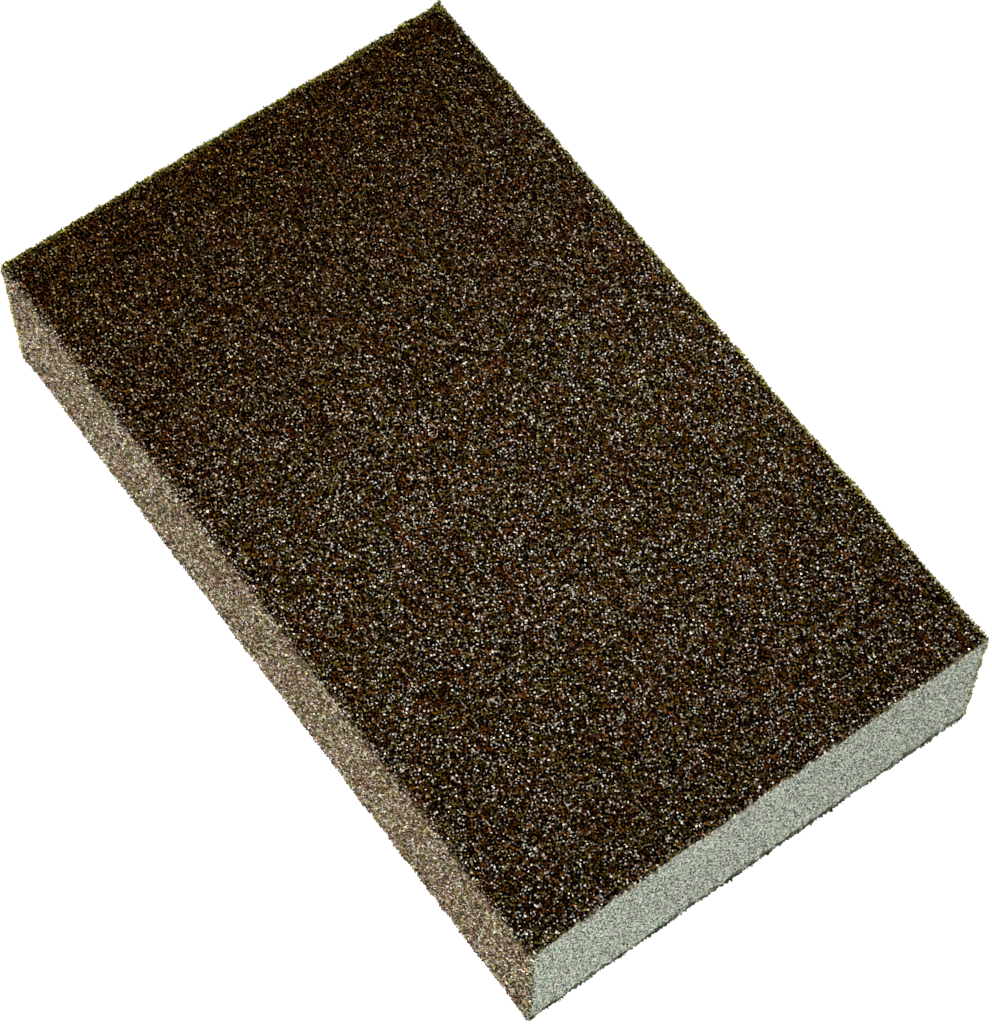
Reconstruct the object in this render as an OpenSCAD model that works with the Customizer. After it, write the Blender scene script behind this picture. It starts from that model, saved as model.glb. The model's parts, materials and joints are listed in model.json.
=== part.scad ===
// Sanding sponge: a block of fine-cell foam with abrasive grit bonded round its four long faces.
// X runs along the block, Y across it and Z up. The origin is the middle of the face it rests on.

/* [Block] */
// Length of the finished block, from cut end to cut end
block_len = 100; // [70:1:150]
// Width of the finished block, over the grit
block_wid = 60.5; // [40:0.5:100]
// Height of the finished block, over the grit
block_ht = 21.5; // [12:0.5:40]

/* [Abrasive coat] */
// Thickness of the bonded resin and grit
coat_t = 0.5; // [0.3:0.1:1.5]

/* [Foam] */
// Radius of the foam's four long edges, under the coat
foam_edge_r = 0.2; // [0.1:0.1:4]
// How far the raw foam stands back from the coat's edge at each cut end
end_recess = 0.2; // [0.1:0.1:2]

/* [Hidden] */
$fn = 48;

// The coat bends round the foam's edges at its full thickness.
coat_edge_r = foam_edge_r + coat_t;

// The foam fills the sleeve that the coat makes, face to face.
foam_wid = block_wid - 2 * coat_t;
foam_ht = block_ht - 2 * coat_t;
foam_len = block_len - 2 * end_recess;

// How far the sleeve's bore is cut past each end of the coat.
overcut = 1;

// Bar along X, centred on the block, with its four long edges rounded.
module rounded_bar(len, wid, ht, r) {
    translate([-len / 2, 0, block_ht / 2]) {
        translate([0, -wid / 2, r - ht / 2])
            cube([len, wid, ht - 2 * r]);
        translate([0, r - wid / 2, -ht / 2])
            cube([len, wid - 2 * r, ht]);
        for (y = [-1, 1], z = [-1, 1])
            translate([0, y * (wid / 2 - r), z * (ht / 2 - r)])
                rotate([0, 90, 0])
                    cylinder(h = len, r = r);
    }
}

// Raw foam, open to view at both cut ends.
module foam_block() {
    color("#a2a79b")
        rounded_bar(foam_len, foam_wid, foam_ht, foam_edge_r);
}

// One sleeve of resin and grit over the top, the bottom and both long sides.
module abrasive_coat() {
    color("#5a4e3e")
        difference() {
            rounded_bar(block_len, block_wid, block_ht, coat_edge_r);
            rounded_bar(block_len + 2 * overcut, foam_wid, foam_ht, foam_edge_r);
        }
}

foam_block();
abrasive_coat();
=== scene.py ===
"""Sanding sponge: raw foam block, resin skin and separate grains of grit, on a pale studio floor."""

import json
import math

import bmesh
import bpy
import numpy as np
from bpy.props import FloatProperty, FloatVectorProperty, IntProperty, PointerProperty
from mathutils import Matrix, Vector

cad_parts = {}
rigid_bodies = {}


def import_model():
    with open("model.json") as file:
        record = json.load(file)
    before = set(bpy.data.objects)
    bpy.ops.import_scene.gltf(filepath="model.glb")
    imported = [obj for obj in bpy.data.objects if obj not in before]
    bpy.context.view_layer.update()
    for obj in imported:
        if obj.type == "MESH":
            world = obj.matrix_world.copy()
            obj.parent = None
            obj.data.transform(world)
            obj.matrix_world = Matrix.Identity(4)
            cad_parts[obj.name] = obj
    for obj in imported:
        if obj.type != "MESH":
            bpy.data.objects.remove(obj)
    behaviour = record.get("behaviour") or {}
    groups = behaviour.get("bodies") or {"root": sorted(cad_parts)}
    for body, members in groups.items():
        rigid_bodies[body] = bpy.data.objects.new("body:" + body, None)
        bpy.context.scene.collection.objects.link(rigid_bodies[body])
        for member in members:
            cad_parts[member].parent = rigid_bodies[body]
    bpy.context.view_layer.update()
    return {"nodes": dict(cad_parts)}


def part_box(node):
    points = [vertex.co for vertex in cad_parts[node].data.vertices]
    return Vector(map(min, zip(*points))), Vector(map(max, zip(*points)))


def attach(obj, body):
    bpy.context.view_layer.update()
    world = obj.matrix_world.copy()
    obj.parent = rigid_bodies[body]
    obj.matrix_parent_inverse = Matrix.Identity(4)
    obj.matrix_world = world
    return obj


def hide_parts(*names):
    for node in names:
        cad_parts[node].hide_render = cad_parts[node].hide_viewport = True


bl_info = {
    "name": "Sanding Sponge",
    "version": (1, 0, 0),
    "blender": (4, 5, 0),
    "location": "3D View > Sidebar > Sponge",
    "description": "Foam block with abrasive grit bonded round its four long faces",
    "category": "Object",
}

MM = 0.001

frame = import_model()
COAT_LOW, COAT_HIGH = (Vector(corner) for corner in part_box("abrasive_coat"))
FOAM_LOW, FOAM_HIGH = (Vector(corner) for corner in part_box("foam_block"))
COAT_T = (COAT_HIGH.z - COAT_LOW.z - FOAM_HIGH.z + FOAM_LOW.z) / 2
MIDDLE = (COAT_LOW + COAT_HIGH) / 2

# Points of the frame's mesh that lie within this of a face count as on it.
ON_FACE = 0.001 * MM

# Foam cells finer than about 0.2 mm would not show, so the fine ones are drawn this wide.
FINE_CELL = 0.28 * MM

# The tips of the grit dip about this far under the coat's outer faces at the lowest places.
DEEPEST_DIP = 0.12 * MM

# Where the coat is bent over a long edge, it stands up in lumps about this high.
BEND_LUMP = 0.22 * MM

# Steps round each long edge of the coat.
ARC_STEPS = 5

# How ragged the knife has left the coat at the far and at the near cut end.
FAR_RAGGED = 0.26 * MM
NEAR_RAGGED = 0.15 * MM

# The resin skin's rims reach this far past the coat's inner face, into the foam.
SKIN_LAP = 0.05 * MM

# Large odd numbers that scatter the corners of a noise lattice, and mix their bits.
LATTICE_STRIDES = np.array([73856093, 19349663, 83492791])
SEED_STRIDE = 2654435761
MIXING_FACTOR = 1274126177


# ---------------------------------------------------------------- helpers


def linear(hex_colour):
    """An sRGB hex colour as a linear colour with full alpha."""
    value = hex_colour.lstrip("#")
    parts = [int(value[i : i + 2], 16) / 255 for i in (0, 2, 4)]
    return tuple(c / 12.92 if c <= 0.04045 else ((c + 0.055) / 1.055) ** 2.4 for c in parts) + (1.0,)


def add_node(tree, kind, inputs=None, **settings):
    """Adds a node with its settings, and fills or links its inputs by socket name or number."""
    node = tree.nodes.new(kind)
    for name, value in settings.items():
        setattr(node, name, value)
    for key, value in (inputs or {}).items():
        if isinstance(value, bpy.types.NodeSocket):
            tree.links.new(value, node.inputs[key])
        else:
            node.inputs[key].default_value = value
    return node


def new_material(name):
    """An empty node material and its tree."""
    material = bpy.data.materials.new(name)
    material.use_nodes = True
    material.node_tree.nodes.clear()
    return material, material.node_tree


def new_tree(name, sockets):
    """A geometry node tree with a geometry input and output, and more inputs given as {name: kind}."""
    tree = bpy.data.node_groups.new(name, "GeometryNodeTree")
    tree.interface.new_socket("Geometry", in_out="OUTPUT", socket_type="NodeSocketGeometry")
    for socket_name, kind in {"Geometry": "Geometry", **sockets}.items():
        tree.interface.new_socket(socket_name, in_out="INPUT", socket_type="NodeSocket" + kind)
    return tree


def apply_tree(source, tree, values, name):
    """Runs a geometry node tree on an object with these inputs, and returns the result as a plain piece."""
    modifier = source.modifiers.new(tree.name, "NODES")
    modifier.node_group = tree
    for item in tree.interface.items_tree:
        if item.in_out == "INPUT" and item.name in values:
            modifier[item.identifier] = values[item.name]
    source.update_tag()
    evaluated = source.evaluated_get(bpy.context.evaluated_depsgraph_get())
    mesh = bpy.data.meshes.new_from_object(evaluated)
    source.modifiers.remove(modifier)
    mesh.name = name
    return add_object(name, mesh)


def add_object(name, mesh):
    """Links a mesh to the scene as an object at the origin."""
    piece = bpy.data.objects.new(name, mesh)
    bpy.context.scene.collection.objects.link(piece)
    return piece


def object_from(name, points, faces):
    """An object at the origin, made from arrays of points and faces."""
    mesh = bpy.data.meshes.new(name)
    mesh.from_pydata([tuple(p) for p in points], [], [tuple(int(i) for i in f) for f in faces])
    mesh.validate()
    return add_object(name, mesh)


def vertex_places(mesh):
    """Where each vertex of a mesh lies, as rows of x, y and z."""
    places = np.empty(len(mesh.vertices) * 3, np.float32)
    mesh.vertices.foreach_get("co", places)
    return places.reshape(-1, 3)


def face_outwards(mesh):
    """Turns every face of a mesh outwards."""
    work = bmesh.new()
    work.from_mesh(mesh)
    bmesh.ops.recalc_face_normals(work, faces=work.faces)
    work.to_mesh(mesh)
    work.free()


def value_noise(points, size, seed):
    """Smooth random values from -1 to 1 at each point, that change over about this size."""
    cell = points / size
    low = np.floor(cell).astype(np.int64)
    part = cell - low
    part = part * part * (3 - 2 * part)
    total = np.zeros(len(points))
    for corner in range(8):
        step = np.array([corner & 1, corner >> 1 & 1, corner >> 2 & 1])
        mixed = (low + step) @ LATTICE_STRIDES + seed * SEED_STRIDE
        mixed = (mixed ^ (mixed >> 13)) * MIXING_FACTOR
        mixed = (mixed ^ (mixed >> 16)) & 0xFFFFFF
        weight = np.prod(np.where(step, part, 1 - part), axis=1)
        total += weight * (mixed / 0x7FFFFF - 1)
    return total


def closeness(distance, full, none):
    """Share from 1 to 0 as a distance grows from one value to the other."""
    return np.clip((none - distance) / (none - full), 0, 1)


# ---------------------------------------------------------------- settings


def length_setting(name, description, default):
    """A setting for a length."""
    return FloatProperty(name=name, description=description, default=default, unit="LENGTH")


def angle_setting(name, description, degrees):
    """A setting for an angle."""
    return FloatProperty(name=name, description=description, default=math.radians(degrees), subtype="ANGLE")


def power_setting(name, description, default):
    """A setting for a lamp's power."""
    return FloatProperty(name=name, description=description, default=default, unit="POWER")


def colour_setting(name, description, hex_colour):
    """A setting for a colour."""
    default = linear(hex_colour)
    return FloatVectorProperty(name=name, description=description, default=default, size=4, subtype="COLOR")


class SpongeFoamSettings(bpy.types.PropertyGroup):
    """Sizes and colours of the raw foam."""

    mesh_step: length_setting("Mesh Step", "Distance between the points that shape a raw end", 0.21 * MM)
    cell_size: length_setting("Cell Size", "Distance between the open cells that show as pits", 0.42 * MM)
    pit_depth: length_setting("Pit Depth", "How deep an open cell dips into a raw end", 0.16 * MM)
    colour: colour_setting("Foam Colour", "Colour of the cell walls that face the light", "#c6c9c1")
    shaded_colour: colour_setting("Shaded Colour", "Colour of the cell walls that lean away", "#a7aca1")
    # Painted shade: the pit colour stands for the shade in the bottom of an open cell.
    pit_shade_colour: colour_setting("Pit Colour", "Colour in the bottom of an open cell", "#10120c")


class SpongeCoatSettings(bpy.types.PropertyGroup):
    """Sizes and colours of the resin and its grit."""

    skin_inset: length_setting(
        "Resin Level", "How far the resin lies under the tips of the grit", 0.34 * MM
    )
    skin_step: length_setting(
        "Skin Step", "Distance between the points that shape the resin skin", 0.9 * MM
    )
    skin_end_gap: length_setting("Skin End Gap", "How far the resin stops from each cut end", 0.16 * MM)
    grain_level: length_setting(
        "Grain Level", "How far the middles of the grains lie under the tips of the grit", 0.2 * MM
    )
    grain_spacing: length_setting(
        "Grain Spacing", "Least distance between the middles of two grains", 0.255 * MM
    )
    grain_proud: length_setting(
        "Proud", "How far a grain may stand out of the level of the others, or lie under it", 0.07 * MM
    )
    grain_end_gap: length_setting(
        "Grain End Gap", "How far the middles of the outermost grains lie from each cut end", 0.12 * MM
    )
    rim_depth: length_setting(
        "Rim Depth", "How far in towards the foam the grains cover each cut rim", 0.3 * MM
    )
    grain_small: length_setting("Smallest Grain", "Diameter of the smallest grains", 0.27 * MM)
    grain_large: length_setting("Largest Grain", "Diameter of the largest grains", 0.5 * MM)
    seed: IntProperty(name="Seed", description="Changes where the grains lie", default=7, min=0)
    resin_colour: colour_setting("Resin Colour", "Colour of the cured resin between the grains", "#060200")


class SpongeStageSettings(bpy.types.PropertyGroup):
    """Floor, lamps and camera."""

    camera_place: FloatVectorProperty(
        name="Camera Place",
        description="Where the camera stands, from the middle of the block's base",
        default=(0.14030, -0.10186, 0.35723),
        size=3,
        subtype="TRANSLATION",
        unit="LENGTH",
    )
    camera_azimuth: angle_setting(
        "Camera Azimuth", "Direction that the camera looks from, round the block", 53.49
    )
    camera_elevation: angle_setting(
        "Camera Elevation", "Direction that the camera looks from, above the floor", 63.77
    )
    camera_roll: angle_setting("Camera Roll", "Turn of the camera about its own line of sight", 0.55)
    lens: FloatProperty(
        name="Lens",
        description="Focal length on a 36 mm sensor, in millimetres",
        default=122.61,
    )
    key_azimuth: angle_setting("Key Lamp Azimuth", "Direction of the main lamp round the block", 30)
    key_elevation: angle_setting(
        "Key Lamp Elevation", "Height of the main lamp above the floor, as an angle", 4.5
    )
    key_distance: length_setting("Key Lamp Distance", "Distance of the main lamp from the block", 0.8)
    key_size: length_setting("Key Lamp Size", "Side of the main lamp's square panel", 0.3)
    key_power: power_setting("Key Lamp Power", "Power of the main lamp", 17.5)
    back_azimuth: angle_setting(
        "Back Lamp Azimuth", "Direction of the low lamp behind the block, round the block", 225
    )
    back_elevation: angle_setting(
        "Back Lamp Elevation", "Height of the back lamp above the floor, as an angle", 3
    )
    back_power: power_setting(
        "Back Lamp Power", "Power of the back lamp, which is as far and as large as the main lamp", 5.5
    )
    spot_azimuth: angle_setting(
        "Spot Azimuth", "Direction of the soft spot on the block's top, round the block", 180
    )
    spot_elevation: angle_setting(
        "Spot Elevation", "Height of the soft spot above the floor, as an angle", 25
    )
    spot_distance: length_setting("Spot Distance", "Distance of the soft spot from the block", 0.5)
    spot_radius: length_setting(
        "Spot Radius", "Radius of the pool of light that the soft spot throws", 55 * MM
    )
    spot_softness: length_setting("Spot Softness", "Radius of the soft spot's own bulb", 30 * MM)
    spot_aim: length_setting(
        "Spot Aim", "How far along the block from its middle the soft spot points", 8 * MM
    )
    spot_power: power_setting("Spot Power", "Power of the soft spot", 11.7)
    floor_size: length_setting("Floor Size", "Side of the square studio floor", 6.0)
    floor_colour: colour_setting("Floor Colour", "Colour of the studio floor", "#e8e8e6")


# ---------------------------------------------------------------- materials


def open_cells(tree, place, scale):
    """Voronoi cells over a raw end: the distance from the middle of the nearest open cell, in cells."""
    parts = add_node(tree, "ShaderNodeSeparateXYZ", {0: place}).outputs
    end = add_node(tree, "ShaderNodeMath", {0: parts["X"]}, operation="SIGN").outputs[0]
    flat = add_node(tree, "ShaderNodeCombineXYZ", {"X": end, "Y": parts["Y"], "Z": parts["Z"]})
    cells = {"Vector": flat.outputs[0], "Scale": scale, "Randomness": 1.0}
    return add_node(tree, "ShaderNodeTexVoronoi", cells, feature="F1").outputs


def cloudy(tree, place, size, detail, low, high, least=0.0, most=1.0):
    """Soft random patches about this size, that run from least to most between two levels of noise."""
    noise = add_node(tree, "ShaderNodeTexNoise", {"Vector": place, "Scale": 1 / size, "Detail": detail})
    levels = {"From Min": low, "From Max": high, "To Min": least, "To Max": most}
    return add_node(tree, "ShaderNodeMapRange", {"Value": noise.outputs["Fac"], **levels}).outputs[0]


def glazed(tree, colour, amount, share, low, high):
    """A colour under a thin glaze, whose own tint runs from one hex value to another with a share."""
    tint = add_node(tree, "ShaderNodeMix", {0: share, 6: linear(low), 7: linear(high)}, data_type="RGBA")
    layers = {0: amount, 6: colour, 7: tint.outputs[2]}
    return add_node(tree, "ShaderNodeMix", layers, data_type="RGBA", blend_type="MULTIPLY").outputs[2]


def foam_material(settings):
    """Polyurethane foam, cut raw: fine open cells make a matt, pale surface full of small pits, with dark
    painted shade in their bottoms.
    """
    material, tree = new_material("polyurethane_foam_cut_raw")
    place = add_node(tree, "ShaderNodeTexCoord").outputs["Object"]
    coarse = open_cells(tree, place, 1 / settings.cell_size)
    fine = open_cells(tree, place, 1 / FINE_CELL)
    coarse_ramp = add_node(
        tree,
        "ShaderNodeMapRange",
        {"Value": coarse["Distance"], "From Min": 0.2, "From Max": 0.5, "To Min": 0.6},
    )
    fine_ramp = add_node(
        tree, "ShaderNodeMapRange", {"Value": fine["Distance"], "From Min": 0.35, "From Max": 0.6}
    )
    # Each cell is cut open at its own height, so some pits are deep with dark painted shade and others
    # hardly show.
    drawn = add_node(tree, "ShaderNodeSeparateColor", {0: fine["Color"]}).outputs[0]
    filled = add_node(tree, "ShaderNodeMapRange", {"Value": drawn, "From Min": 0.5, "From Max": 1.2})
    shallow = add_node(
        tree, "ShaderNodeMath", {0: filled.outputs[0], 1: fine_ramp.outputs[0]}, operation="MAXIMUM"
    )
    pit_shade_share = add_node(
        tree, "ShaderNodeMath", {0: coarse_ramp.outputs[0], 1: shallow.outputs[0]}, operation="MULTIPLY"
    )
    # The walls between the cells catch the light unevenly.
    leaning = cloudy(tree, place, 0.22 * MM, 1.0, 0.42, 0.58)
    walls = add_node(
        tree, "ShaderNodeMix", {0: leaning, 6: settings.shaded_colour, 7: settings.colour}, data_type="RGBA"
    )
    pit_shaded = add_node(
        tree,
        "ShaderNodeMix",
        {0: pit_shade_share.outputs[0], 6: settings.pit_shade_colour, 7: walls.outputs[2]},
        data_type="RGBA",
    )
    # The foam is a little pinker in some cells and greener in others.
    swing = cloudy(tree, place, 1.0 * MM, 2.0, 0.38, 0.62)
    stained = glazed(tree, pit_shaded.outputs[2], 1.0, swing, "#fff6f6", "#eefeea")
    # Painted shade: the lowest cells are drawn darker and greener towards the foot, higher up in some places
    # than in others.
    foot_shade_reach = cloudy(tree, place, 1.1 * MM, 1.0, 0.35, 0.65, 0.4 * MM, 1.7 * MM)
    height = add_node(tree, "ShaderNodeSeparateXYZ", {0: place}).outputs["Z"]
    above = add_node(tree, "ShaderNodeMath", {0: height, 1: foot_shade_reach}, operation="SUBTRACT")
    clear_of_foot_shade = add_node(
        tree,
        "ShaderNodeMapRange",
        {"Value": above.outputs[0], "From Min": -0.1 * MM, "From Max": 0.5 * MM},
    )
    foot_shaded = glazed(tree, stained, 1.0, clear_of_foot_shade.outputs[0], "#747e5e", "#ffffff")
    bump = add_node(
        tree, "ShaderNodeBump", {"Strength": 0.5, "Distance": 0.1 * MM, "Height": fine_ramp.outputs[0]}
    )
    shader = add_node(
        tree,
        "ShaderNodeBsdfPrincipled",
        {"Base Color": foot_shaded, "Roughness": 0.95, "IOR": 1.4, "Normal": bump.outputs[0]},
    )
    add_node(tree, "ShaderNodeOutputMaterial", {"Surface": shader.outputs[0]})
    return material


def resin_material(settings):
    """Phenolic resin, cured: a dark brown, slightly uneven bed that the grains stand in."""
    material, tree = new_material("phenolic_resin_cured")
    place = add_node(tree, "ShaderNodeTexCoord").outputs["Object"]
    noise = {"Vector": place, "Scale": 1 / (0.5 * MM), "Detail": 3.0}
    lumps = add_node(tree, "ShaderNodeTexNoise", noise).outputs["Fac"]
    colour = add_node(
        tree, "ShaderNodeMix", {0: lumps, 6: settings.resin_colour, 7: linear("#0e0601")}, data_type="RGBA"
    )
    # Where the knife has gone through, crushed foam hides the resin in patches.
    along = add_node(tree, "ShaderNodeSeparateXYZ", {0: place}).outputs["X"]
    reach = add_node(tree, "ShaderNodeMath", {0: along}, operation="ABSOLUTE").outputs[0]
    rim = {"From Min": COAT_HIGH.x - 0.7 * MM, "From Max": COAT_HIGH.x - 0.4 * MM}
    cut = add_node(tree, "ShaderNodeMapRange", {"Value": reach, **rim})
    patch = cloudy(tree, place, 1.1 * MM, 1.0, 0.5, 0.38)
    hidden = add_node(tree, "ShaderNodeMath", {0: cut.outputs[0], 1: patch}, operation="MULTIPLY")
    smeared = add_node(
        tree,
        "ShaderNodeMix",
        {0: hidden.outputs[0], 6: colour.outputs[2], 7: linear("#8a9078")},
        data_type="RGBA",
    )
    bump = add_node(tree, "ShaderNodeBump", {"Strength": 0.8, "Distance": 0.15 * MM, "Height": lumps})
    look = {"Roughness": 0.6, "Specular IOR Level": 0.05, "Normal": bump.outputs[0]}
    shader = add_node(tree, "ShaderNodeBsdfPrincipled", {"Base Color": smeared.outputs[2], **look})
    add_node(tree, "ShaderNodeOutputMaterial", {"Surface": shader.outputs[0]})
    return material


# Share of the grains from which each colour runs, and the colour.
GRAIN_TONES = (
    (0.00, "#241000"),
    (0.07, "#4e2e04"),
    (0.20, "#694c1c"),
    (0.33, "#7d6237"),
    (0.47, "#7e7046"),
    (0.58, "#96866f"),
    (0.70, "#b2aa9e"),
    (0.81, "#d2cdc4"),
    (0.90, "#ecebe6"),
    (0.95, "#f5f3ec"),
)


def grain_colour(tree, place, tone, side):
    """The grains' own tones under the size resin. Tone is each grain's draw from 0 to 1, and side is how
    far it is on a narrow side."""
    ramp = add_node(tree, "ShaderNodeValToRGB", {"Fac": tone})
    ramp.color_ramp.interpolation = "CONSTANT"
    elements = ramp.color_ramp.elements
    elements.remove(elements[1])
    elements[0].color = linear(GRAIN_TONES[0][1])
    for position, hex_colour in GRAIN_TONES[1:]:
        elements.new(position).color = linear(hex_colour)
    # The size resin is redder in some places and more olive in others.
    swing = cloudy(tree, place, 2.0 * MM, 2.0, 0.41, 0.59)
    resin = add_node(
        tree, "ShaderNodeMix", {0: swing, 6: linear("#ffd2c6"), 7: linear("#e0f4a6")}, data_type="RGBA"
    )
    # It is yellow on the wide faces, and clearer on the narrow sides.
    coat = glazed(tree, resin.outputs[2], 1.0, side, "#ffe774", "#f0eab4")
    # The palest grains are bare and hardly stained, and those on the narrow sides less than the rest.
    wetted = add_node(
        tree,
        "ShaderNodeMapRange",
        {"Value": tone, "From Min": 0.42, "From Max": 0.75, "To Min": 1.0, "To Max": 0.15},
    )
    kept = add_node(tree, "ShaderNodeMapRange", {"Value": side, "To Min": 1.0, "To Max": 0.6})
    stained = add_node(
        tree, "ShaderNodeMath", {0: wetted.outputs[0], 1: kept.outputs[0]}, operation="MULTIPLY"
    )
    # On the narrow sides dust greys each grain a little.
    greyed = add_node(
        tree, "ShaderNodeHueSaturation", {"Saturation": 0.75, "Fac": side, "Color": ramp.outputs["Color"]}
    )
    return add_node(
        tree,
        "ShaderNodeMix",
        {0: stained.outputs[0], 6: greyed.outputs[0], 7: coat},
        data_type="RGBA",
        blend_type="MULTIPLY",
    ).outputs[2]


def sides_dust_and_shade(tree, place, tone, side, colour):
    """The same colour with the dust on the narrow sides, where grains are more alike, and with painted shade
    there that dims the palest grains and some patches, and painted light that brightens others.
    """
    dusty = add_node(tree, "ShaderNodeMath", {0: side, 1: 0.08}, operation="MULTIPLY")
    alike = add_node(
        tree, "ShaderNodeMix", {0: dusty.outputs[0], 6: colour, 7: linear("#9c927e")}, data_type="RGBA"
    )
    # Painted shade: the palest grains on the narrow sides are drawn dimmer.
    pale = add_node(tree, "ShaderNodeMapRange", {"Value": tone, "From Min": 0.7, "From Max": 0.95})
    pale_side_shade = add_node(tree, "ShaderNodeMath", {0: pale.outputs[0], 1: side}, operation="MULTIPLY")
    side_shaded = add_node(
        tree,
        "ShaderNodeMix",
        {0: pale_side_shade.outputs[0], 6: alike.outputs[2], 7: linear("#b4b2ae")},
        data_type="RGBA",
        blend_type="MULTIPLY",
    )
    # The dust lies there in patches, some pinker and some greener.
    patch = cloudy(tree, place, 3.0 * MM, 2.0, 0.4, 0.6)
    patched = glazed(tree, side_shaded.outputs[2], side, patch, "#fdeefa", "#f4feea")
    # Painted shade and light: there a few grains together are drawn dimmer, as if they lay deeper, and
    # others brighter, as if they stood out.
    patchy_shade_and_light = cloudy(tree, place, 0.45 * MM, 1.0, 0.3, 0.7, 0.55, 1.45)
    return add_node(
        tree,
        "ShaderNodeMix",
        {0: side, 6: patched, 7: patchy_shade_and_light},
        data_type="RGBA",
        blend_type="MULTIPLY",
    ).outputs[2]


def end_dust_and_painted_light(tree, place, tone, side, colour):
    """The same colour with painted shade towards the far end and at the foot, painted light along the far
    edges, and foam dust from the knife on the near cut rim.
    """
    # Painted shade: towards the far end the grains on the wide faces are drawn darker and browner.
    along = add_node(tree, "ShaderNodeSeparateXYZ", {0: place}).outputs["X"]
    far_shade_ramp = add_node(tree, "ShaderNodeMapRange", {"Value": along, "From Min": 0.0, "From Max": COAT_LOW.x})
    wide = add_node(tree, "ShaderNodeMath", {0: 1.0, 1: side}, operation="SUBTRACT")
    far_shade = add_node(tree, "ShaderNodeMath", {0: far_shade_ramp.outputs[0], 1: wide.outputs[0]}, operation="MULTIPLY")
    palest = add_node(tree, "ShaderNodeMapRange", {"Value": tone, "From Min": 0.85, "From Max": 0.95})
    far_shaded = glazed(tree, colour, far_shade.outputs[0], palest.outputs[0], "#e2b954", "#c2b694")
    # Painted light: along the far edges the grains are drawn a bright olive, for light from behind.
    edge = add_node(tree, "ShaderNodeAttribute", attribute_name="grain_edge").outputs["Fac"]
    rim_light_share = add_node(tree, "ShaderNodeMath", {0: edge, 1: 0.95}, operation="MULTIPLY")
    olive = add_node(
        tree, "ShaderNodeMix", {0: tone, 6: linear("#a89c28"), 7: linear("#e8df5c")}, data_type="RGBA"
    )
    rim_lit = add_node(
        tree, "ShaderNodeMix", {0: rim_light_share.outputs[0], 6: far_shaded, 7: olive.outputs[2]}, data_type="RGBA"
    )
    # Foam dust from the knife lies on the near cut rim.
    cut = add_node(tree, "ShaderNodeAttribute", attribute_name="grain_cut").outputs["Fac"]
    dusted = add_node(
        tree, "ShaderNodeMix", {0: cut, 6: rim_lit.outputs[2], 7: linear("#767f62")}, data_type="RGBA"
    )
    # Painted shade: at the foot the grains are drawn dark green.
    foot = add_node(tree, "ShaderNodeAttribute", attribute_name="grain_foot").outputs["Fac"]
    foot_shade = add_node(tree, "ShaderNodeMath", {0: foot, 1: 0.9}, operation="MULTIPLY")
    return add_node(
        tree,
        "ShaderNodeMix",
        {0: foot_shade.outputs[0], 6: dusted.outputs[2], 7: linear("#39412c")},
        data_type="RGBA",
    ).outputs[2]


def grit_material():
    """Fused alumina, crushed: sharp glassy grains in browns and olives, a few almost white."""
    material, tree = new_material("fused_alumina_crushed")
    place = add_node(tree, "ShaderNodeTexCoord").outputs["Object"]
    tone = add_node(tree, "ShaderNodeAttribute", attribute_name="grain_tone").outputs["Fac"]
    side = add_node(tree, "ShaderNodeAttribute", attribute_name="grain_side").outputs["Fac"]
    colour = grain_colour(tree, place, tone, side)
    colour = sides_dust_and_shade(tree, place, tone, side, colour)
    colour = end_dust_and_painted_light(tree, place, tone, side, colour)
    glass = {"Roughness": 0.3, "IOR": 1.7, "Specular IOR Level": 0.18, "Specular Tint": linear("#fff0c8")}
    shader = add_node(tree, "ShaderNodeBsdfPrincipled", {"Base Color": colour, **glass})
    add_node(tree, "ShaderNodeOutputMaterial", {"Surface": shader.outputs[0]})
    return material


# ---------------------------------------------------------------- foam


def coat_edge_radius():
    """Outer radius of the coat's long edges, read from the frame's own mesh: the straight part of its
    resting face stops this far from its side."""
    node = frame["nodes"]["abrasive_coat"]
    lowest = [v.co.y for v in node.data.vertices if abs(v.co.z - COAT_LOW.z) < ON_FACE]
    return COAT_HIGH.y - max(lowest)


def foam_skin(step):
    """Points and faces of the foam block as a closed skin, with points this far apart on its two raw ends
    and none along its hidden sides."""
    size = FOAM_HIGH - FOAM_LOW
    radius = coat_edge_radius() - COAT_T
    y, z = np.meshgrid(
        np.linspace(-size.y / 2, size.y / 2, int(size.y / step) + 1),
        np.linspace(-size.z / 2, size.z / 2, int(size.z / step) + 1),
        indexing="ij",
    )
    # The square's corners are drawn in to arcs, so the grid follows the block's rounded long edges.
    inner_y = np.clip(y, radius - size.y / 2, size.y / 2 - radius)
    inner_z = np.clip(z, radius - size.z / 2, size.z / 2 - radius)
    out_y, out_z = y - inner_y, z - inner_z
    reach = np.hypot(out_y, out_z)
    shrink = np.maximum(np.abs(out_y), np.abs(out_z)) / np.maximum(reach, 1e-12)
    y = inner_y + out_y * shrink
    z = inner_z + out_z * shrink
    number = np.arange(y.size).reshape(y.shape)
    quads = np.stack([number[:-1, :-1], number[1:, :-1], number[1:, 1:], number[:-1, 1:]], -1).reshape(-1, 4)
    rim = np.concatenate([number[:, 0], number[-1, 1:], number[-2::-1, -1], number[0, -2:0:-1]])
    centre_z = (FOAM_LOW.z + FOAM_HIGH.z) / 2
    points, faces = [], []
    for end, x in enumerate((FOAM_LOW.x, FOAM_HIGH.x)):
        points.append(np.stack([np.full(y.size, x), y.ravel(), z.ravel() + centre_z], 1))
        faces.append((quads if end else quads[:, ::-1]) + end * y.size)
    following = np.roll(rim, -1)
    faces.append(np.stack([rim, following, following + y.size, rim + y.size], 1))
    return np.concatenate(points), np.concatenate(faces)


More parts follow.
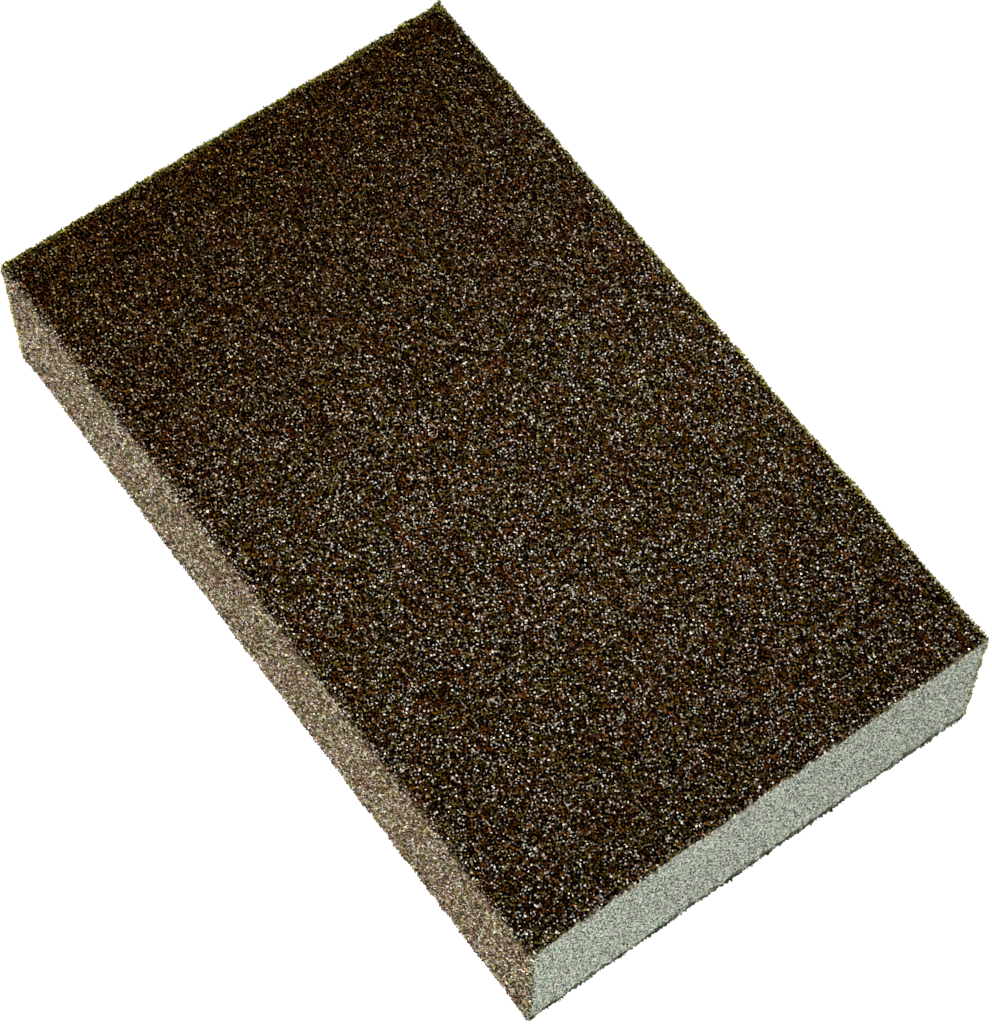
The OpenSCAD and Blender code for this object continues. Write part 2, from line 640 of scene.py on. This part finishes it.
def foam_tree():
    """Geometry nodes that press the open cells into the two raw ends."""
    tree = new_tree("foam_cells", {"Cell Size": "Float", "Pit Depth": "Float", "Material": "Material"})
    given = add_node(tree, "NodeGroupInput").outputs
    place = add_node(tree, "GeometryNodeInputPosition").outputs[0]
    scale = add_node(tree, "ShaderNodeMath", {0: 1.0, 1: given["Cell Size"]}, operation="DIVIDE")
    cells = open_cells(tree, place, scale.outputs[0])
    depth = add_node(
        tree,
        "ShaderNodeMapRange",
        {"Value": cells["Distance"], "From Min": 0.05, "From Max": 0.45, "To Min": 1.0, "To Max": 0.0},
    )
    pressed = add_node(
        tree, "ShaderNodeMath", {0: depth.outputs[0], 1: given["Pit Depth"]}, operation="MULTIPLY"
    )
    along = add_node(tree, "ShaderNodeSeparateXYZ", {0: place}).outputs["X"]
    end = add_node(tree, "ShaderNodeMath", {0: along}, operation="SIGN")
    inward = add_node(tree, "ShaderNodeMath", {0: end.outputs[0], 1: -1.0}, operation="MULTIPLY")
    move = add_node(
        tree, "ShaderNodeMath", {0: pressed.outputs[0], 1: inward.outputs[0]}, operation="MULTIPLY"
    )
    offset = add_node(tree, "ShaderNodeCombineXYZ", {"X": move.outputs[0]})
    moved = add_node(
        tree, "GeometryNodeSetPosition", {"Geometry": given["Geometry"], "Offset": offset.outputs[0]}
    )
    painted = add_node(
        tree, "GeometryNodeSetMaterial", {"Geometry": moved.outputs[0], "Material": given["Material"]}
    )
    add_node(tree, "NodeGroupOutput", {0: painted.outputs[0]})
    return tree


class SPONGE_OT_foam(bpy.types.Operator):
    """Make the raw foam block"""

    bl_idname = "sponge.foam"
    bl_label = "Foam Block"

    def execute(self, context):
        settings = context.scene.sponge_foam
        blank = object_from("foam_blank", *foam_skin(settings.mesh_step))
        values = {
            "Cell Size": settings.cell_size,
            "Pit Depth": settings.pit_depth,
            "Material": foam_material(settings),
        }
        foam = apply_tree(blank, foam_tree(), values, "foam_core")
        bpy.data.objects.remove(blank)
        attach(foam, "root")
        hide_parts("foam_block")
        return {"FINISHED"}


# ---------------------------------------------------------------- coat


def rounded_outline(width, height, radius, step):
    """Points round a rounded rectangle, anticlockwise in (y, z) from the middle of the right side,
    with each one's outward direction, about a step apart on the straights."""
    points, outward = [], []
    inner_y, inner_z = width / 2 - radius, height / 2 - radius
    corners = [(1, 1), (-1, 1), (-1, -1), (1, -1)]
    for turn, (sign_y, sign_z) in enumerate(corners):
        for i in range(ARC_STEPS + 1):
            angle = turn * math.pi / 2 + math.pi / 2 * i / ARC_STEPS
            out_y, out_z = math.cos(angle), math.sin(angle)
            points.append((sign_y * inner_y + radius * out_y, sign_z * inner_z + radius * out_z))
            outward.append((out_y, out_z))
        # The straight to the next corner leaves in the direction that the arc ended with.
        next_y, next_z = corners[(turn + 1) % 4]
        start_y, start_z = points[-1]
        run_y = next_y * inner_y + radius * out_y - start_y
        run_z = next_z * inner_z + radius * out_z - start_z
        count = max(int(round(math.hypot(run_y, run_z) / step)), 1)
        for i in range(1, count):
            share = i / count
            points.append((start_y + run_y * share, start_z + run_z * share))
            outward.append((out_y, out_z))
    return np.array(points), np.array(outward)


def unevenness(points):
    """How far the coat dips at each point: long swells with small lumps on them."""
    swell = value_noise(points, 4.5 * MM, 3)
    lump = value_noise(points, 1.3 * MM, 4)
    return DEEPEST_DIP * (0.5 - 0.35 * swell - 0.25 * lump)


def sleeve(level, step, end_gap):
    """Rows of points round the coat, this far under the tips of the grit, and each column's outward
    direction."""
    size = COAT_HIGH - COAT_LOW
    radius = coat_edge_radius() - level
    outline, outward = rounded_outline(size.y - 2 * level, size.z - 2 * level, radius, step)
    along = np.linspace(COAT_LOW.x + end_gap, COAT_HIGH.x - end_gap, int(size.x / step) + 1)
    rows = np.zeros((len(along), len(outline), 3))
    rows[:, :, 0] = along[:, None]
    rows[:, :, 1:] = outline[None]
    dips = unevenness(rows.reshape(-1, 3)).reshape(rows.shape[:2])
    # Along the long edges it is bent over and stands up in lumps.
    bent = np.abs(outward).min(axis=1) > 0.01
    lumps = value_noise(rows.reshape(-1, 3) / (1.5, 1, 1), 1.6 * MM, 8).reshape(rows.shape[:2])
    dips -= bent * BEND_LUMP * np.maximum(lumps + 0.1, 0)
    rows[:, :, 1:] -= dips[:, :, None] * outward[None]
    rows[:, :, 2] += MIDDLE.z
    # The knife leaves the coat ragged at both cut ends.
    for end, inward, ragged in ((0, 1, FAR_RAGGED), (-1, -1, NEAR_RAGGED)):
        rows[end, :, 0] += inward * ragged * (0.3 + value_noise(rows[end], 1.3 * MM, 5))
    return rows, outward


def with_rims(rows, outward, depth):
    """The same rows with one more at each end, this far in towards the foam."""
    rims = rows[[0, -1]].copy()
    rims[:, :, 1:] -= depth * outward[None]
    return np.concatenate([rims[:1], rows, rims[1:]])


def strips(rows, closed):
    """Four-sided faces between following rows of points, and from the last to the first row where closed."""
    count = rows.shape[1]
    loop = np.arange(count)
    after = (loop + 1) % count
    order = list(range(len(rows)))
    following = order[1:] + order[:1] if closed else order[1:]
    faces = [
        np.stack([a * count + loop, a * count + after, b * count + after, b * count + loop], 1)
        for a, b in zip(order, following)
    ]
    return np.concatenate(faces)


class SPONGE_OT_resin(bpy.types.Operator):
    """Make the skin of resin that the grit stands in"""

    bl_idname = "sponge.resin"
    bl_label = "Resin Skin"

    def execute(self, context):
        settings = context.scene.sponge_coat
        rows, outward = sleeve(settings.skin_inset, settings.skin_step, settings.skin_end_gap)
        # The two rims meet the foam, and a face between them closes the skin along the foam.
        rows = with_rims(rows, outward, COAT_T + SKIN_LAP - settings.skin_inset)
        skin = object_from("resin_skin", rows.reshape(-1, 3), strips(rows, True))
        face_outwards(skin.data)
        skin.data.shade_smooth()
        skin.data.materials.append(resin_material(settings))
        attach(skin, "root")
        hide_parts("abrasive_coat")
        return {"FINISHED"}


# Corners of a regular body with 4, 5 or 6 corners, and how many differently crushed grains start from each.
GRAIN_BODIES = (
    (11, ((1, 1, 1), (1, -1, -1), (-1, 1, -1), (-1, -1, 1))),
    (7, ((0, 0, 1.2), (1, 1, -0.5), (-1, 1, -0.5), (-1, -1, -0.5), (1, -1, -0.5))),
    (6, ((1, 0, 0), (-1, 0, 0), (0, 1, 0), (0, -1, 0), (0, 0, 1), (0, 0, -1))),
)


def grain_shapes(seed):
    """A collection of crushed grains, each a small closed body of flat facets about 1 unit across."""
    rng = np.random.default_rng(seed)
    shapes = bpy.data.collections.new("grain_shapes")
    for count, corners in GRAIN_BODIES:
        for copy in range(count):
            body = np.array(corners, float)
            body /= np.linalg.norm(body, axis=1)[:, None]
            body *= rng.uniform(0.75, 1.2, (len(body), 1))
            body += rng.normal(0, 0.16, body.shape)
            body *= rng.uniform(0.75, 1.25, 3)
            body -= body.mean(0)
            body /= 2 * np.linalg.norm(body, axis=1).mean()
            work = bmesh.new()
            for corner in body:
                work.verts.new(corner)
            hull = bmesh.ops.convex_hull(work, input=work.verts)
            bmesh.ops.delete(work, geom=list(set(hull["geom_interior"])), context="VERTS")
            bmesh.ops.triangulate(work, faces=work.faces)
            bmesh.ops.recalc_face_normals(work, faces=work.faces)
            mesh = bpy.data.meshes.new(f"grain_{len(corners)}_{copy}")
            work.to_mesh(mesh)
            work.free()
            shapes.objects.link(bpy.data.objects.new(mesh.name, mesh))
    return shapes


# Each stretch of the coat that is one piece of grit, in the order of the sheet's regions.
GRIT_PIECES = (
    "grit_top_front",
    "grit_top_back",
    "grit_bottom_front",
    "grit_bottom_back",
    "grit_side_front",
    "grit_side_back",
)


def grain_sheet(settings):
    """The face that the middles of the grains lie on, round the four long faces and over the cut rims,
    with its regions."""
    rows, outward = sleeve(settings.grain_level, settings.skin_step, settings.grain_end_gap)
    rows = with_rims(rows, outward, settings.rim_depth)
    sheet = object_from("grain_sheet", rows.reshape(-1, 3), strips(rows, False))
    face_outwards(sheet.data)
    facing = outward + np.roll(outward, -1, axis=0)
    middle_y = (rows[0, :, 1] + np.roll(rows[0, :, 1], -1)) / 2
    on_side = np.abs(facing[:, 0]) > np.abs(facing[:, 1])
    columns = np.where(on_side, 4, np.where(facing[:, 1] > 0, 0, 2)) + (middle_y > 0)
    stored = sheet.data.attributes.new("region", "INT", "FACE")
    stored.data.foreach_set("value", np.tile(columns, len(rows) - 1).astype(np.int32))
    return sheet


GRIT_SOCKETS = {
    "Spacing": "Float",
    "Smallest": "Float",
    "Largest": "Float",
    "Proud": "Float",
    "Seed": "Int",
    "Region": "Int",
    "Grains": "Collection",
    "Grain Count": "Int",
    "Material": "Material",
}


def grit_tree():
    """Geometry nodes that stand crushed grains on a sheet, closer than wide and each turned at random."""
    tree = new_tree("bonded_grit", GRIT_SOCKETS)
    given = add_node(tree, "NodeGroupInput").outputs
    # About four times as many places are drawn as fit, and those nearer than the spacing are dropped.
    squared = add_node(
        tree, "ShaderNodeMath", {0: given["Spacing"], 1: given["Spacing"]}, operation="MULTIPLY"
    )
    density = add_node(tree, "ShaderNodeMath", {0: 3.0, 1: squared.outputs[0]}, operation="DIVIDE")
    scattered = add_node(
        tree,
        "GeometryNodeDistributePointsOnFaces",
        {
            "Mesh": given["Geometry"],
            "Distance Min": given["Spacing"],
            "Density Max": density.outputs[0],
            "Density Factor": 1.0,
            "Seed": given["Seed"],
        },
        distribute_method="POISSON",
    )
    rise = add_node(tree, "FunctionNodeRandomValue", {2: -1.0, 3: 1.0, "Seed": 15}, data_type="FLOAT")
    height = add_node(tree, "ShaderNodeMath", {0: rise.outputs[1], 1: given["Proud"]}, operation="MULTIPLY")
    lift = add_node(
        tree,
        "ShaderNodeVectorMath",
        {0: scattered.outputs["Normal"], "Scale": height.outputs[0]},
        operation="SCALE",
    )
    raised = add_node(
        tree, "GeometryNodeSetPosition", {"Geometry": scattered.outputs["Points"], "Offset": lift.outputs[0]}
    )
    number = add_node(tree, "GeometryNodeInputIndex")
    tone = add_node(tree, "FunctionNodeRandomValue", {2: 0.0, 3: 1.0, "Seed": 11}, data_type="FLOAT")
    toned = add_node(
        tree,
        "GeometryNodeStoreNamedAttribute",
        {"Geometry": raised.outputs[0], "Name": "grain_tone", "Value": tone.outputs[1]},
        data_type="FLOAT",
        domain="POINT",
    )
    region = add_node(tree, "GeometryNodeInputNamedAttribute", {"Name": "region"}, data_type="INT")
    elsewhere = add_node(
        tree,
        "FunctionNodeCompare",
        {2: region.outputs[0], 3: given["Region"]},
        data_type="INT",
        operation="NOT_EQUAL",
    )
    kept = add_node(
        tree,
        "GeometryNodeDeleteGeometry",
        {"Geometry": toned.outputs[0], "Selection": elsewhere.outputs[0]},
        domain="POINT",
    )
    numbered = add_node(
        tree,
        "GeometryNodeStoreNamedAttribute",
        {"Geometry": kept.outputs[0], "Name": "grain_number", "Value": number.outputs[0]},
        data_type="INT",
        domain="POINT",
    )
    turn = add_node(
        tree,
        "FunctionNodeRandomValue",
        {0: (0, 0, 0), 1: (math.tau, math.tau, math.tau), "Seed": 12},
        data_type="FLOAT_VECTOR",
    )
    draw = add_node(tree, "FunctionNodeRandomValue", {2: 0.0, 3: 1.0, "Seed": 13}, data_type="FLOAT")
    width = add_node(
        tree,
        "ShaderNodeMapRange",
        {"Value": draw.outputs[1], "To Min": given["Smallest"], "To Max": given["Largest"]},
    )
    # The palest grains are the most crushed.
    kept_tone = add_node(tree, "GeometryNodeInputNamedAttribute", {"Name": "grain_tone"}, data_type="FLOAT")
    crushed = add_node(
        tree,
        "ShaderNodeMapRange",
        {"Value": kept_tone.outputs[0], "From Min": 0.66, "From Max": 0.82, "To Min": 1.0, "To Max": 0.86},
    )
    size = add_node(
        tree, "ShaderNodeMath", {0: width.outputs[0], 1: crushed.outputs[0]}, operation="MULTIPLY"
    )
    last = add_node(tree, "ShaderNodeMath", {0: given["Grain Count"], 1: 1.0}, operation="SUBTRACT")
    choice = add_node(
        tree, "FunctionNodeRandomValue", {4: 0, 5: last.outputs[0], "Seed": 14}, data_type="INT"
    )
    bodies = add_node(
        tree,
        "GeometryNodeCollectionInfo",
        {"Collection": given["Grains"], "Separate Children": True, "Reset Children": True},
    )
    stood = add_node(
        tree,
        "GeometryNodeInstanceOnPoints",
        {
            "Points": numbered.outputs[0],
            "Instance": bodies.outputs[0],
            "Pick Instance": True,
            "Instance Index": choice.outputs[2],
            "Rotation": turn.outputs[0],
            "Scale": size.outputs[0],
        },
    )
    solid = add_node(tree, "GeometryNodeRealizeInstances", {0: stood.outputs[0]})
    painted = add_node(
        tree, "GeometryNodeSetMaterial", {"Geometry": solid.outputs[0], "Material": given["Material"]}
    )
    add_node(tree, "NodeGroupOutput", {0: painted.outputs[0]})
    return tree


def rest_on_floor(mesh):
    """Stops any tip that would reach under the face that the block rests on."""
    place = vertex_places(mesh)
    place[:, 2] = np.maximum(place[:, 2], COAT_LOW.z)
    mesh.vertices.foreach_set("co", place.ravel())
    mesh.update()


def mark_grains(mesh):
    """Stores how far each point of a piece of grit is on a narrow side, at a far edge, at the foot or on
    the near cut rim."""
    place = vertex_places(mesh)
    inside = np.minimum(place - np.array(COAT_LOW), np.array(COAT_HIGH) - place)
    on_side = closeness(inside[:, 1], 0.5 * MM, 0.9 * MM)
    # The second nearest face is as far as the nearest edge.
    on_edge = closeness(np.sort(inside, axis=1)[:, 1], 0.7 * MM, 1.2 * MM)
    far_end = closeness(place[:, 0] - COAT_LOW.x, 0.3 * MM, 1.2 * MM)
    far_side = closeness(COAT_HIGH.y - place[:, 1], 0.3 * MM, 1.1 * MM)
    # The painted shade at the foot reaches higher in some places than in others.
    foot_shade_reach = (1.0 + 0.7 * value_noise(place, 1.6 * MM, 9)) * MM
    foot = closeness(place[:, 2] - COAT_LOW.z - foot_shade_reach, -0.2 * MM, 0.3 * MM)
    at_wall = closeness(inside[:, :2].min(axis=1), 0.7 * MM, 1.2 * MM)
    cut = closeness(COAT_HIGH.x - place[:, 0], 0.25 * MM, 0.6 * MM)
    # Painted light: a bright rim along the far edges, weaker on the narrow sides.
    rim_light_share = np.maximum(far_end * (1 - 0.65 * on_side), far_side * (1 - 0.45 * on_side))
    shares = {
        "grain_side": on_side,
        "grain_edge": on_edge * rim_light_share,
        "grain_foot": at_wall * foot * (1 - 0.5 * on_side),
        "grain_cut": cut * np.maximum(0.3, far_side),
    }
    for name, values in shares.items():
        stored = mesh.attributes.new(name, "FLOAT", "POINT")
        stored.data.foreach_set("value", values.astype(np.float32))


def map_by_grain(mesh):
    """Gives each grain a small square of its own in a UV map, so that a baked colour fits each one."""
    number = np.empty(len(mesh.vertices), np.int32)
    mesh.attributes["grain_number"].data.foreach_get("value", number)
    corner = np.empty(len(mesh.loops), np.int32)
    mesh.loops.foreach_get("vertex_index", corner)
    across = math.ceil(math.sqrt(number.max() + 1))
    middle = np.stack([number % across, number // across], 1) + 0.5
    spread = np.random.default_rng(1).uniform(-0.35, 0.35, (len(number), 2))
    uv = (middle + spread) / across
    layer = mesh.uv_layers.new(name="OFBake")
    layer.uv.foreach_set("vector", uv[corner].astype(np.float32).ravel())


class SPONGE_OT_grit(bpy.types.Operator):
    """Make the grains of grit, one piece for each stretch of the coat"""

    bl_idname = "sponge.grit"
    bl_label = "Grit"

    def execute(self, context):
        settings = context.scene.sponge_coat
        sheet = grain_sheet(settings)
        shapes = grain_shapes(settings.seed)
        tree = grit_tree()
        values = {
            "Spacing": settings.grain_spacing,
            "Smallest": settings.grain_small,
            "Largest": settings.grain_large,
            "Proud": settings.grain_proud,
            "Seed": settings.seed,
            "Grains": shapes,
            "Grain Count": len(shapes.objects),
            "Material": grit_material(),
        }
        for region, name in enumerate(GRIT_PIECES):
            grit = apply_tree(sheet, tree, {**values, "Region": region}, name)
            rest_on_floor(grit.data)
            mark_grains(grit.data)
            map_by_grain(grit.data)
            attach(grit, "root")
            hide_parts("abrasive_coat")
        bpy.data.objects.remove(sheet)
        for shape in list(shapes.objects):
            bpy.data.objects.remove(shape)
        bpy.data.collections.remove(shapes)
        return {"FINISHED"}


# ---------------------------------------------------------------- stage


def direction(azimuth, elevation):
    """Unit vector towards this azimuth and elevation. Azimuth 0 is towards -Y, and 90 degrees towards +X."""
    level = math.cos(elevation)
    return Vector((math.sin(azimuth) * level, -math.cos(azimuth) * level, math.sin(elevation)))


def add_lamp(name, kind, towards, distance, power, aim=MIDDLE):
    """A lamp of this kind that faces a place on the block, from this direction."""
    data = bpy.data.lights.new(name, kind)
    data.energy = power
    lamp = bpy.data.objects.new(name, data)
    lamp.location = aim + towards * distance
    lamp.rotation_euler = towards.to_track_quat("Z", "Y").to_euler()
    bpy.context.scene.collection.objects.link(lamp)
    return data


def add_camera(settings):
    """The camera, turned to its direction and rolled about its line of sight."""
    data = bpy.data.cameras.new("camera")
    data.sensor_width = 36.0
    data.lens = settings.lens
    data.clip_start = 0.01
    camera = bpy.data.objects.new("camera", data)
    back = direction(settings.camera_azimuth, settings.camera_elevation)
    level = Vector((math.cos(settings.camera_azimuth), math.sin(settings.camera_azimuth), 0))
    upright = back.cross(level)
    roll = settings.camera_roll
    right = level * math.cos(roll) + upright * math.sin(roll)
    up = upright * math.cos(roll) - level * math.sin(roll)
    turn = Matrix((right, up, back)).transposed().to_4x4()
    camera.matrix_world = Matrix.Translation(settings.camera_place) @ turn
    bpy.context.scene.collection.objects.link(camera)
    bpy.context.scene.camera = camera


def floor_material(colour):
    """Painted studio floor: even, matt and pale. The camera sees it white, apart from the shadow."""
    material, tree = new_material("painted_studio_floor")
    shader = add_node(tree, "ShaderNodeBsdfPrincipled", {"Base Color": colour, "Roughness": 0.9})
    seen = add_node(tree, "ShaderNodeLightPath").outputs["Is Camera Ray"]
    strength = add_node(tree, "ShaderNodeMath", {0: seen, 1: 0.9}, operation="MULTIPLY")
    glow = add_node(tree, "ShaderNodeEmission", {"Color": (1, 1, 1, 1), "Strength": strength.outputs[0]})
    both = add_node(tree, "ShaderNodeAddShader", {0: shader.outputs[0], 1: glow.outputs[0]})
    add_node(tree, "ShaderNodeOutputMaterial", {"Surface": both.outputs[0]})
    return material


def make_world():
    """A white room to the camera, and soft even light to the block, stronger from near the horizon."""
    world = bpy.data.worlds.new("studio_room")
    world.use_nodes = True
    tree = world.node_tree
    tree.nodes.clear()
    towards = add_node(tree, "ShaderNodeTexCoord").outputs["Generated"]
    height = add_node(tree, "ShaderNodeSeparateXYZ", {0: towards}).outputs["Z"]
    fall = add_node(
        tree,
        "ShaderNodeMapRange",
        {"Value": height, "From Min": 0.0, "From Max": 0.5, "To Min": 0.8, "To Max": 0.02},
        interpolation_type="SMOOTHSTEP",
    )
    soft = add_node(tree, "ShaderNodeBackground", {"Color": (1, 1, 1, 1), "Strength": fall.outputs[0]})
    white = add_node(tree, "ShaderNodeBackground", {"Color": (1, 1, 1, 1), "Strength": 1.0})
    seen = add_node(tree, "ShaderNodeLightPath").outputs["Is Camera Ray"]
    mix = add_node(tree, "ShaderNodeMixShader", {0: seen, 1: soft.outputs[0], 2: white.outputs[0]})
    add_node(tree, "ShaderNodeOutputWorld", {"Surface": mix.outputs[0]})
    bpy.context.scene.world = world


class SPONGE_OT_stage(bpy.types.Operator):
    """Make the floor, the lamps and the camera"""

    bl_idname = "sponge.stage"
    bl_label = "Stage"

    def execute(self, context):
        settings = context.scene.sponge_stage
        half = settings.floor_size / 2
        corners = [(-half, -half, 0), (half, -half, 0), (half, half, 0), (-half, half, 0)]
        floor = object_from("studio_floor", corners, [(0, 1, 2, 3)])
        floor.data.materials.append(floor_material(settings.floor_colour))
        make_world()
        towards = direction(settings.key_azimuth, settings.key_elevation)
        key = add_lamp("key_lamp", "AREA", towards, settings.key_distance, settings.key_power)
        # A low lamp behind the block draws a light line along the far edges.
        towards = direction(settings.back_azimuth, settings.back_elevation)
        back = add_lamp("back_lamp", "AREA", towards, settings.key_distance, settings.back_power)
        key.size = back.size = settings.key_size
        # A soft spot makes the top brighter round the middle and near end than at the far corners.
        towards = direction(settings.spot_azimuth, settings.spot_elevation)
        aim = Vector((settings.spot_aim, 0, COAT_HIGH.z))
        spot = add_lamp("top_spot", "SPOT", towards, settings.spot_distance, settings.spot_power, aim)
        spot.spot_size = 2 * math.atan(settings.spot_radius / settings.spot_distance)
        spot.spot_blend = 1.0
        spot.shadow_soft_size = settings.spot_softness
        add_camera(settings)
        context.scene.view_settings.view_transform = "Standard"
        return {"FINISHED"}


# ---------------------------------------------------------------- add-on


class SPONGE_PT_panel(bpy.types.Panel):
    """The sponge's pieces and settings"""

    bl_idname = "SPONGE_PT_panel"
    bl_label = "Sanding Sponge"
    bl_space_type = "VIEW_3D"
    bl_region_type = "UI"
    bl_category = "Sponge"

    def draw(self, context):
        groups = (
            (context.scene.sponge_foam, ("sponge.foam",)),
            (context.scene.sponge_coat, ("sponge.resin", "sponge.grit")),
            (context.scene.sponge_stage, ("sponge.stage",)),
        )
        for settings, operators in groups:
            column = self.layout.column()
            for name in settings.bl_rna.properties.keys():
                if name not in ("rna_type", "name"):
                    column.prop(settings, name)
            for operator in operators:
                column.operator(operator)


CLASSES = (
    SpongeFoamSettings,
    SpongeCoatSettings,
    SpongeStageSettings,
    SPONGE_OT_foam,
    SPONGE_OT_resin,
    SPONGE_OT_grit,
    SPONGE_OT_stage,
    SPONGE_PT_panel,
)


def register():
    for cls in CLASSES:
        bpy.utils.register_class(cls)
    bpy.types.Scene.sponge_foam = PointerProperty(type=SpongeFoamSettings)
    bpy.types.Scene.sponge_coat = PointerProperty(type=SpongeCoatSettings)
    bpy.types.Scene.sponge_stage = PointerProperty(type=SpongeStageSettings)


def unregister():
    del bpy.types.Scene.sponge_stage
    del bpy.types.Scene.sponge_coat
    del bpy.types.Scene.sponge_foam
    for cls in reversed(CLASSES):
        bpy.utils.unregister_class(cls)


def main():
    register()
    bpy.ops.sponge.foam()
    bpy.ops.sponge.resin()
    bpy.ops.sponge.grit()
    bpy.ops.sponge.stage()


if __name__ == "__main__":
    main()
